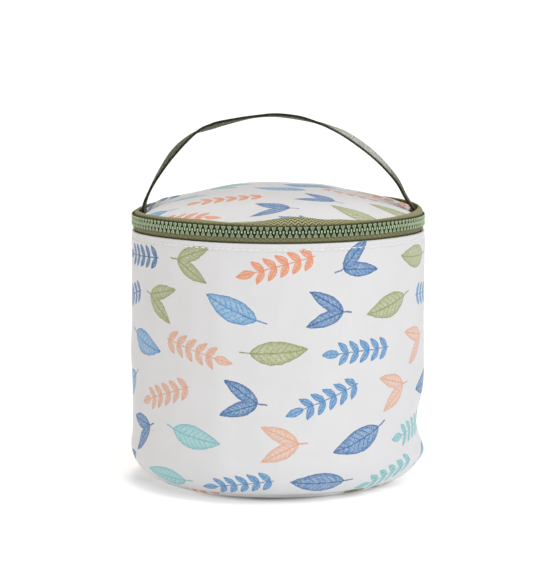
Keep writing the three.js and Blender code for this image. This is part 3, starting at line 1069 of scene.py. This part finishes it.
def curl_line(az):
    """Middle line from the upright tape over the rim to the lid seam."""
    bend = RIM_BEND_Z - side_dip(az)
    t = np.linspace(0, 1, LINE_ROWS)[None, :]
    r2, z2 = rim_r(az), rim_value(az, "z")
    r1 = (CHAIN_RADIUS + r2) / 2 + 2 * RIM_ROLL
    z1 = (bend + z2) / 2 + 1.2 * RIM_ROLL
    r = (1 - t) ** 2 * CHAIN_RADIUS + 2 * t * (1 - t) * r1 + t ** 2 * r2
    return r, (1 - t) ** 2 * bend + 2 * t * (1 - t) * z1 + t ** 2 * z2


def upper_line(az, start):
    """The curl with a run of tape before it, grooved above the teeth; also how much shade is painted into
    its groove and next to the teeth.
    """
    r, z = start
    curl_r, curl_z = curl_line(az)
    line_r = np.concatenate([r[:, :-1], curl_r], 1)
    line_z = np.concatenate([z[:, :-1], curl_z], 1)
    level = line_z + side_dip(az)
    groove = bell(level - GROOVE_Z, GROOVE_HALF)
    for row in GROOVE_FILLED:
        groove = groove * (1 - round_sum([row], "share", az))
    foot = CHAIN_Z + CHAIN_HALF
    behind = ease(level, foot + 0.2, foot - 0.2) + FOOT_SHADE * ease(level, foot + 1.6, foot)
    return line_r - TAPE_GROOVE * groove, line_z, groove + behind


def open_band(name, az, line_r, line_z, tape_shade, weave, material, node):
    steps = line_r.shape[1]
    thick = TAPE + (TAPE_EDGE - TAPE) * ease(np.arange(steps), steps * 0.75, steps - 1)[None, :]
    r, z = band(line_r, line_z, thick)
    points = place(az, r, z)
    across = np.radians(az[:, 0]) * TAPE_RADIUS + TAPE_SHIFT
    middle = len(az) // 2
    along = way_round(r[middle], z[middle])
    uv = uv_grid(np.append(across, across[-1]), along)
    piece = grid_piece(name, points, uv, False, True, capped=True)
    # Painted shade on the outer face only
    paint_value(piece, "tape_shade", np.concatenate([tape_shade, 0 * tape_shade], 1))
    paint_value(piece, "weave", weave + 0 * r)
    finish_piece(piece, node, material)


def zip_tapes(material):
    az = np.linspace(-ZIP_END, ZIP_END, TAPE_STEPS)[:, None]
    zipped = ease(np.abs(az), ZIP_END - 1.5, ZIP_END - 3.5)
    part = CLEAR / 2 + (TAPE_PART - CLEAR / 2) * zipped
    line_r, line_z = foot_line(az, CHAIN_Z - part)
    level = line_z + side_dip(az)
    foot = CHAIN_Z - CHAIN_HALF
    # Painted shade on the lower tape: all over, more along the hem on the left, less on the right, and next
    # to the teeth
    hem_shade = HEM_SHADE_LEFT * ease(az, -10, -35) - HEM_SHADE_RIGHT * ease(az, -20, 0)
    tape_shade = LOWER_SHADE + hem_shade * ease(level, HEM_Z + 0.9, HEM_Z + 0.3)
    tape_shade = tape_shade + ease(level, foot - 0.4, foot + 0.3)
    open_band("lower_tape", az, line_r, line_z, tape_shade * zipped, FAINT_WEAVE, material, "lower_zip_tape")
    first = CHAIN_Z + part
    rise = first + (RIM_BEND_Z - first) * np.linspace(0, 1, RISE_ROWS)[None, :] - side_dip(az)
    line_r, line_z, tape_shade = upper_line(az, (CHAIN_RADIUS + 0 * rise, rise))
    weave = FAINT_WEAVE + (1 - FAINT_WEAVE) * bell(turn_from(az, WEAVE_AT), WEAVE_SPREAD)
    open_band("upper_tape", az, line_r, line_z, tape_shade * zipped, weave, material, "upper_zip_tape")
    back = np.linspace(180 - HINGE_HALF, 180 + HINGE_HALF, HINGE_STEPS)[:, None]
    line_r, line_z, tape_shade = upper_line(back, foot_line(back, RIM_BEND_Z))
    open_band("hinge_strip", back, line_r, line_z, 0 * tape_shade, FAINT_WEAVE, material, "back_hinge")


# Half outline of a tooth: distance from its middle, distance from the meeting line towards its own tape,
# and where on its middle line that point looks when the outline is drawn in
TOOTH = [
    (0.0, 2.85, 2.1),
    (0.95, 2.85, 2.1),
    (1.12, 2.68, 2.1),
    (1.14, 2.25, 2.0),
    (1.05, 1.8, 1.8),
    (0.78, 1.3, 1.4),
    (0.52, 0.88, 0.95),
    (0.4, 0.6, 0.6),
    (0.4, 0.34, 0.25),
    (0.53, 0.06, -0.2),
    (0.64, -0.3, -0.32),
    (0.52, -0.72, -0.36),
    (0.24, -0.9, -0.36),
    (0.0, -0.94, -0.36),
]

# Front of a tooth from its flank inwards: share of the way to the middle, depth below the front, and
# painted light: shade at the flank, a highlight on the rim, a darker middle
TOOTH_FRONT = [
    dict(share=0.0, below=0.4, tone_and_painted_light=0.08),
    dict(share=0.07, below=0.12, tone_and_painted_light=0.75),
    dict(share=0.2, below=0.0, tone_and_painted_light=0.9),
    dict(share=0.38, below=0.03, tone_and_painted_light=0.65),
    dict(share=0.6, below=0.14, tone_and_painted_light=0.42),
]


# Linking head of a tooth: between which heights it turns into the body, its form and its painted highlight
TOOTH_BODY = (0.2, 0.9)
HEAD_ROUND = 0.25
HEAD_FLAT = 0.4
HEAD_PAINTED_LIGHT, HEAD_PAINTED_HIGHLIGHT = 0.45, 0.9
TOOTH_SHARP = 40

# Painted light on the teeth: all round, more of it at the sides and back, and more at the front left
TEETH_LIT = 0.95
SIDES_LIT = 0.3
LEFT_LIT = 0.15


def tooth_row(name, up, shift, material, node):
    half = np.array(TOOTH)
    x, y, core = np.concatenate([half, half[-2:0:-1] * [-1, 1, 1]]).T
    body = ease(y, *TOOTH_BODY)
    loops = [(x, y, 0 * x + TEETH_IN)]
    tone_and_painted_light = [0 * x]
    for row in TOOTH_FRONT:
        share = row["share"]
        head = HEAD_ROUND * (1 - share) ** 2
        below = row["below"] * body + (row["below"] * HEAD_FLAT + head) * (1 - body)
        loops.append((x * (1 - share), y + (core - y) * share, TEETH_OUT - below))
        tone_and_painted_light.append(row["tone_and_painted_light"] * body + (HEAD_PAINTED_LIGHT + HEAD_PAINTED_HIGHLIGHT * share) * (1 - body))
    across, away, radius = np.stack(loops, 1)
    start = -180 + HINGE_HALF + HINGE_GAP * 2
    pitch = 2 * -start / (TEETH + 0.5)
    middle = start + (shift + np.arange(TEETH) + 0.5) * pitch
    turn = np.degrees(across / TEETH_OUT)
    level = CHAIN_Z - up * away
    piece = loft_piece(name, [place(at + turn, radius, level - side_dip(at)) for at in middle])
    piece.data.set_sharp_from_angle(angle=math.radians(TOOTH_SHARP))
    lit = TEETH_LIT + SIDES_LIT * ease(np.abs(middle), 20, 60) + LEFT_LIT * bell(middle + 40, 15)
    # Painted light and shade, per point of each tooth
    paint_value(piece, "tone_and_painted_light", lit[:, None] * np.concatenate(tone_and_painted_light)[None, :])
    finish_piece(piece, node, material)


SLIDER_ROUND = 0.4
SLIDER_PALE = 0.5


def slider(material):
    piece = link_piece("slider_plate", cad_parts["zip_slider"].data.copy())
    piece.data.materials.clear()
    # Even tone of the slider, given through the value that paints light on the teeth
    paint_value(piece, "tone_and_painted_light", np.full(len(piece.data.vertices), SLIDER_PALE))
    bevel = piece.modifiers.new("rounded", "BEVEL")
    bevel.width = SLIDER_ROUND * MM
    bevel.segments = 3
    finish_piece(piece, "zip_slider", material)


def spline(rows, count):
    """Points evenly along a smooth curve through the rows, whose first two columns are its place."""
    p = np.array(rows, float)
    ends = np.concatenate([2 * p[:1] - p[1:2], p, 2 * p[-1:] - p[-2:-1]])
    t = np.linspace(0, len(p) - 1, 40 * len(p))
    i = np.minimum(t.astype(int), len(p) - 2)
    s = (t - i)[:, None]
    a, b, c, d = (ends[i + k] for k in range(4))
    square = (2 * a - 5 * b + 4 * c - d) * s ** 2
    cube = (3 * b - a - 3 * c + d) * s ** 3
    curve = 0.5 * (2 * b + (c - a) * s + square + cube)
    length = np.concatenate([[0], np.cumsum(np.linalg.norm(np.diff(curve[:, :2], axis=0), axis=1))])
    even = np.linspace(0, length[-1], count)
    return np.stack([np.interp(even, length, column) for column in curve.T], -1), even


# Mesh of the handle, how square its edges are, what its rib adds, and where a pale sheen is painted on its
# outer face
STRAP_STEPS = 820
STRAP_ACROSS = 21
EDGE_POWER = 40
EDGE_LEAST = 0.3
RIB_OUT = 0.12
RIB_THICK = 0.04
SHEEN_FROM = (19, 36)
SHEEN_TO = (68, 53)
INNER_SHEEN = 0.09


def handle(material):
    row, along = spline(STRAP_ROWS, STRAP_STEPS)
    tangent = np.gradient(row[:, :2], axis=0)
    tangent = tangent / np.linalg.norm(tangent, axis=1, keepdims=True)
    out = np.stack([-tangent[:, 1], 0 * along, tangent[:, 0]], -1)
    front = np.array([0.0, -1.0, 0.0])
    twist = np.radians(row[:, 2])[:, None]
    face = out * np.cos(twist) + front * np.sin(twist)
    edge = front * np.cos(twist) - out * np.sin(twist)
    across = 0.5 * np.sin(np.radians(np.linspace(-90, 90, STRAP_ACROSS)))
    round_off = np.sqrt(np.clip(1 - (np.abs(across) * 2) ** EDGE_POWER, EDGE_LEAST, 1))
    rib = np.sin(along * 2 * math.pi / WEB_RIB)[:, None]
    wide = STRAP_WIDE / 2 + RIB_OUT * rib
    thick = STRAP_THICK / 2 * (1 - RIB_THICK + RIB_THICK * rib) * round_off[None, :]
    middle = np.stack([row[:, 0], 0 * along, row[:, 1]], -1)[:, None, :]
    side = edge[:, None, :] * (across[None, :, None] * 2 * wide[..., None])
    top = middle + side + face[:, None, :] * thick[..., None]
    low = middle + side - face[:, None, :] * thick[..., None]
    points = np.concatenate([low, top[:, ::-1]], 1)
    u = np.concatenate([across, across[::-1], across[:1]]) * STRAP_WIDE + STRAP_WIDE / 2
    uv = np.zeros((STRAP_STEPS + 1, len(u), 2))
    uv[..., 0] = u
    uv[..., 1] = np.append(along, along[-1])[:, None]
    piece = grid_piece("handle_webbing", points, uv, False, True, capped=True)
    # Painted sheen: along the right-hand run of the outer face, faint on the inner face
    painted_sheen = (ease(row[:, 0], *SHEEN_FROM) * ease(row[:, 0], *SHEEN_TO))[:, None] + 0 * across
    paint_value(piece, "painted_sheen", np.concatenate([0 * painted_sheen + INNER_SHEEN, painted_sheen], 1))
    finish_piece(piece, "handle_strap", material)


STITCH_PITCH = 3.75
STITCH_HALF = 1.35
STITCH_THICK = 0.27
STITCH_SINK = 0.22
STITCH_RINGS = 9
STITCH_SIDES = 8


def hem_stitches(material):
    count = round(2 * math.pi * RADIUS / STITCH_PITCH)
    t = np.linspace(-1, 1, STITCH_RINGS)[:, None]
    around = np.radians(np.arange(STITCH_SIDES) * 360 / STITCH_SIDES)
    size = STITCH_THICK * np.sqrt(np.clip(1 - t ** 6, 0.04, 1))
    stacks = []
    for k in range(count):
        az = 360 * k / count + np.degrees(t * STITCH_HALF / RADIUS)
        r = RADIUS + hem_out(az) - STITCH_SINK * t ** 4 + size * np.cos(around)
        stacks.append(place(az, r, HEM_STITCH_Z - side_dip(az) + size * np.sin(around)))
    piece = loft_piece("hem_stitches", stacks)
    finish_piece(piece, None, material)


# Studio
PHOTO_HIGH = 565
FOCAL_PX = 2830.0
CAMERA_DISTANCE = 1.55
CAMERA_ELEVATION = 7.79
CAMERA_AIM = (-0.00475, 0.0, 0.1074)
WORLD_LEFT = (0.575, 0.520, 0.462)
WORLD_RIGHT = (0.567, 0.562, 0.591)
WORLD_TOP = (0.860, 0.850, 0.835)
WORLD_BACK = (1.850, 1.720, 1.620)
FLOOR_COLOUR = 0.5
# The floor glows this much where no shadow is painted; the glow also lights the bag from below
FLOOR_GLOW = 0.60

# Shadow of the bag painted into the floor's glow: middle, radii where it is full and gone, how much of the
# glow it takes
FLOOR_SHADES = [
    dict(x=-0.005, y=-0.024, full=0.036, gone=0.048, takes=0.55),
    dict(x=0.006, y=0.0, full=0.052, gone=0.062, takes=0.5),
    dict(x=-0.011, y=-0.005, full=0.066, gone=0.077, takes=0.36),
    dict(x=-0.011, y=-0.005, full=0.045, gone=0.066, takes=-0.12),
]
KEY = dict(azimuth=30.0, elevation=45.0, spread=50.0, power=1.24)


def add_camera(scene):
    lens = bpy.data.cameras.new("camera")
    lens.sensor_fit = "VERTICAL"
    lens.sensor_height = 36.0
    lens.lens = 36.0 * FOCAL_PX / PHOTO_HIGH
    lens.clip_end = 100.0
    camera = bpy.data.objects.new("camera", lens)
    e = math.radians(CAMERA_ELEVATION)
    camera.location = (
        CAMERA_AIM[0],
        CAMERA_AIM[1] - CAMERA_DISTANCE * math.cos(e),
        CAMERA_AIM[2] + CAMERA_DISTANCE * math.sin(e),
    )
    camera.rotation_euler = Euler((math.radians(90) - e, 0, 0))
    scene.collection.objects.link(camera)
    scene.camera = camera


def add_world(scene):
    """White surroundings: warmer on the left, brighter overhead, brightest above and behind."""
    world = bpy.data.worlds.new("studio")
    world.use_nodes = True
    tree = world.node_tree
    x, y, z = split_vector(tree, tree.nodes.new("ShaderNodeTexCoord").outputs["Generated"])
    sides = mix_colour(tree, x.fade(-1.0, 1.0), WORLD_LEFT, WORLD_RIGHT)
    above = mix_colour(tree, y.fade(0.0, 0.8), WORLD_TOP, WORLD_BACK)
    colour = mix_colour(tree, z.fade(0.3, 1.0), sides, above)
    tree.links.new(colour, tree.nodes["Background"].inputs["Color"])
    scene.world = world
    scene.view_settings.view_transform = "Standard"


def add_floor():
    bpy.ops.mesh.primitive_plane_add(size=60.0, location=(0, 0, 0))
    floor = bpy.context.object
    floor.name = "floor"
    material, tree, shader = new_material("floor")
    where = tree.nodes.new("ShaderNodeTexCoord").outputs["Object"]
    cloud = noise(tree, where, 40.0, 3.0)
    grey = [(FLOOR_COLOUR * k,) * 3 for k in (0.985, 1.015)]
    tree.links.new(mix_colour(tree, cloud, *grey), shader.inputs["Base Color"])
    set_surface(shader, 0.9, 0.1)
    floor_x, floor_y, _ = split_vector(tree, where)
    # Painted shadow of the bag: the glow is taken away round it
    taken = None
    for shade in FLOOR_SHADES:
        x = floor_x - shade["x"]
        y = floor_y - shade["y"]
        here = ((x * x + y * y) ** 0.5).fade(shade["gone"], shade["full"]) * shade["takes"]
        taken = here if taken is None else taken + here
    glow = (taken * -1.0 + 1.0).at_least(0.0) * FLOOR_GLOW
    shader.inputs["Emission Color"].default_value = (1.0, 1.0, 1.0, 1.0)
    tree.links.new(glow.socket, shader.inputs["Emission Strength"])
    floor.data.materials.append(material)


def add_key(scene):
    light = bpy.data.lights.new("key", "SUN")
    light.energy = KEY["power"]
    light.angle = math.radians(KEY["spread"])
    lamp = bpy.data.objects.new("key", light)
    lamp.rotation_euler = Euler((math.radians(90 - KEY["elevation"]), 0, math.radians(KEY["azimuth"])))
    lamp.location = (0.6, -0.6, 0.9)
    scene.collection.objects.link(lamp)


def studio():
    scene = bpy.context.scene
    add_camera(scene)
    add_world(scene)
    add_floor()
    add_key(scene)


studio()
cloth = printed_cloth()
side_wall(cloth, plain_lining())
base_panel(cloth)
lid_panel(cloth)
zip_tapes(zip_tape())
plastic = zip_plastic()
tooth_row("lower_teeth", 1, 0.0, plastic, "lower_zip_teeth")
tooth_row("upper_teeth", -1, 0.5, plastic, "upper_zip_teeth")
slider(plastic)
handle(strap_webbing())
hem_stitches(white_thread())
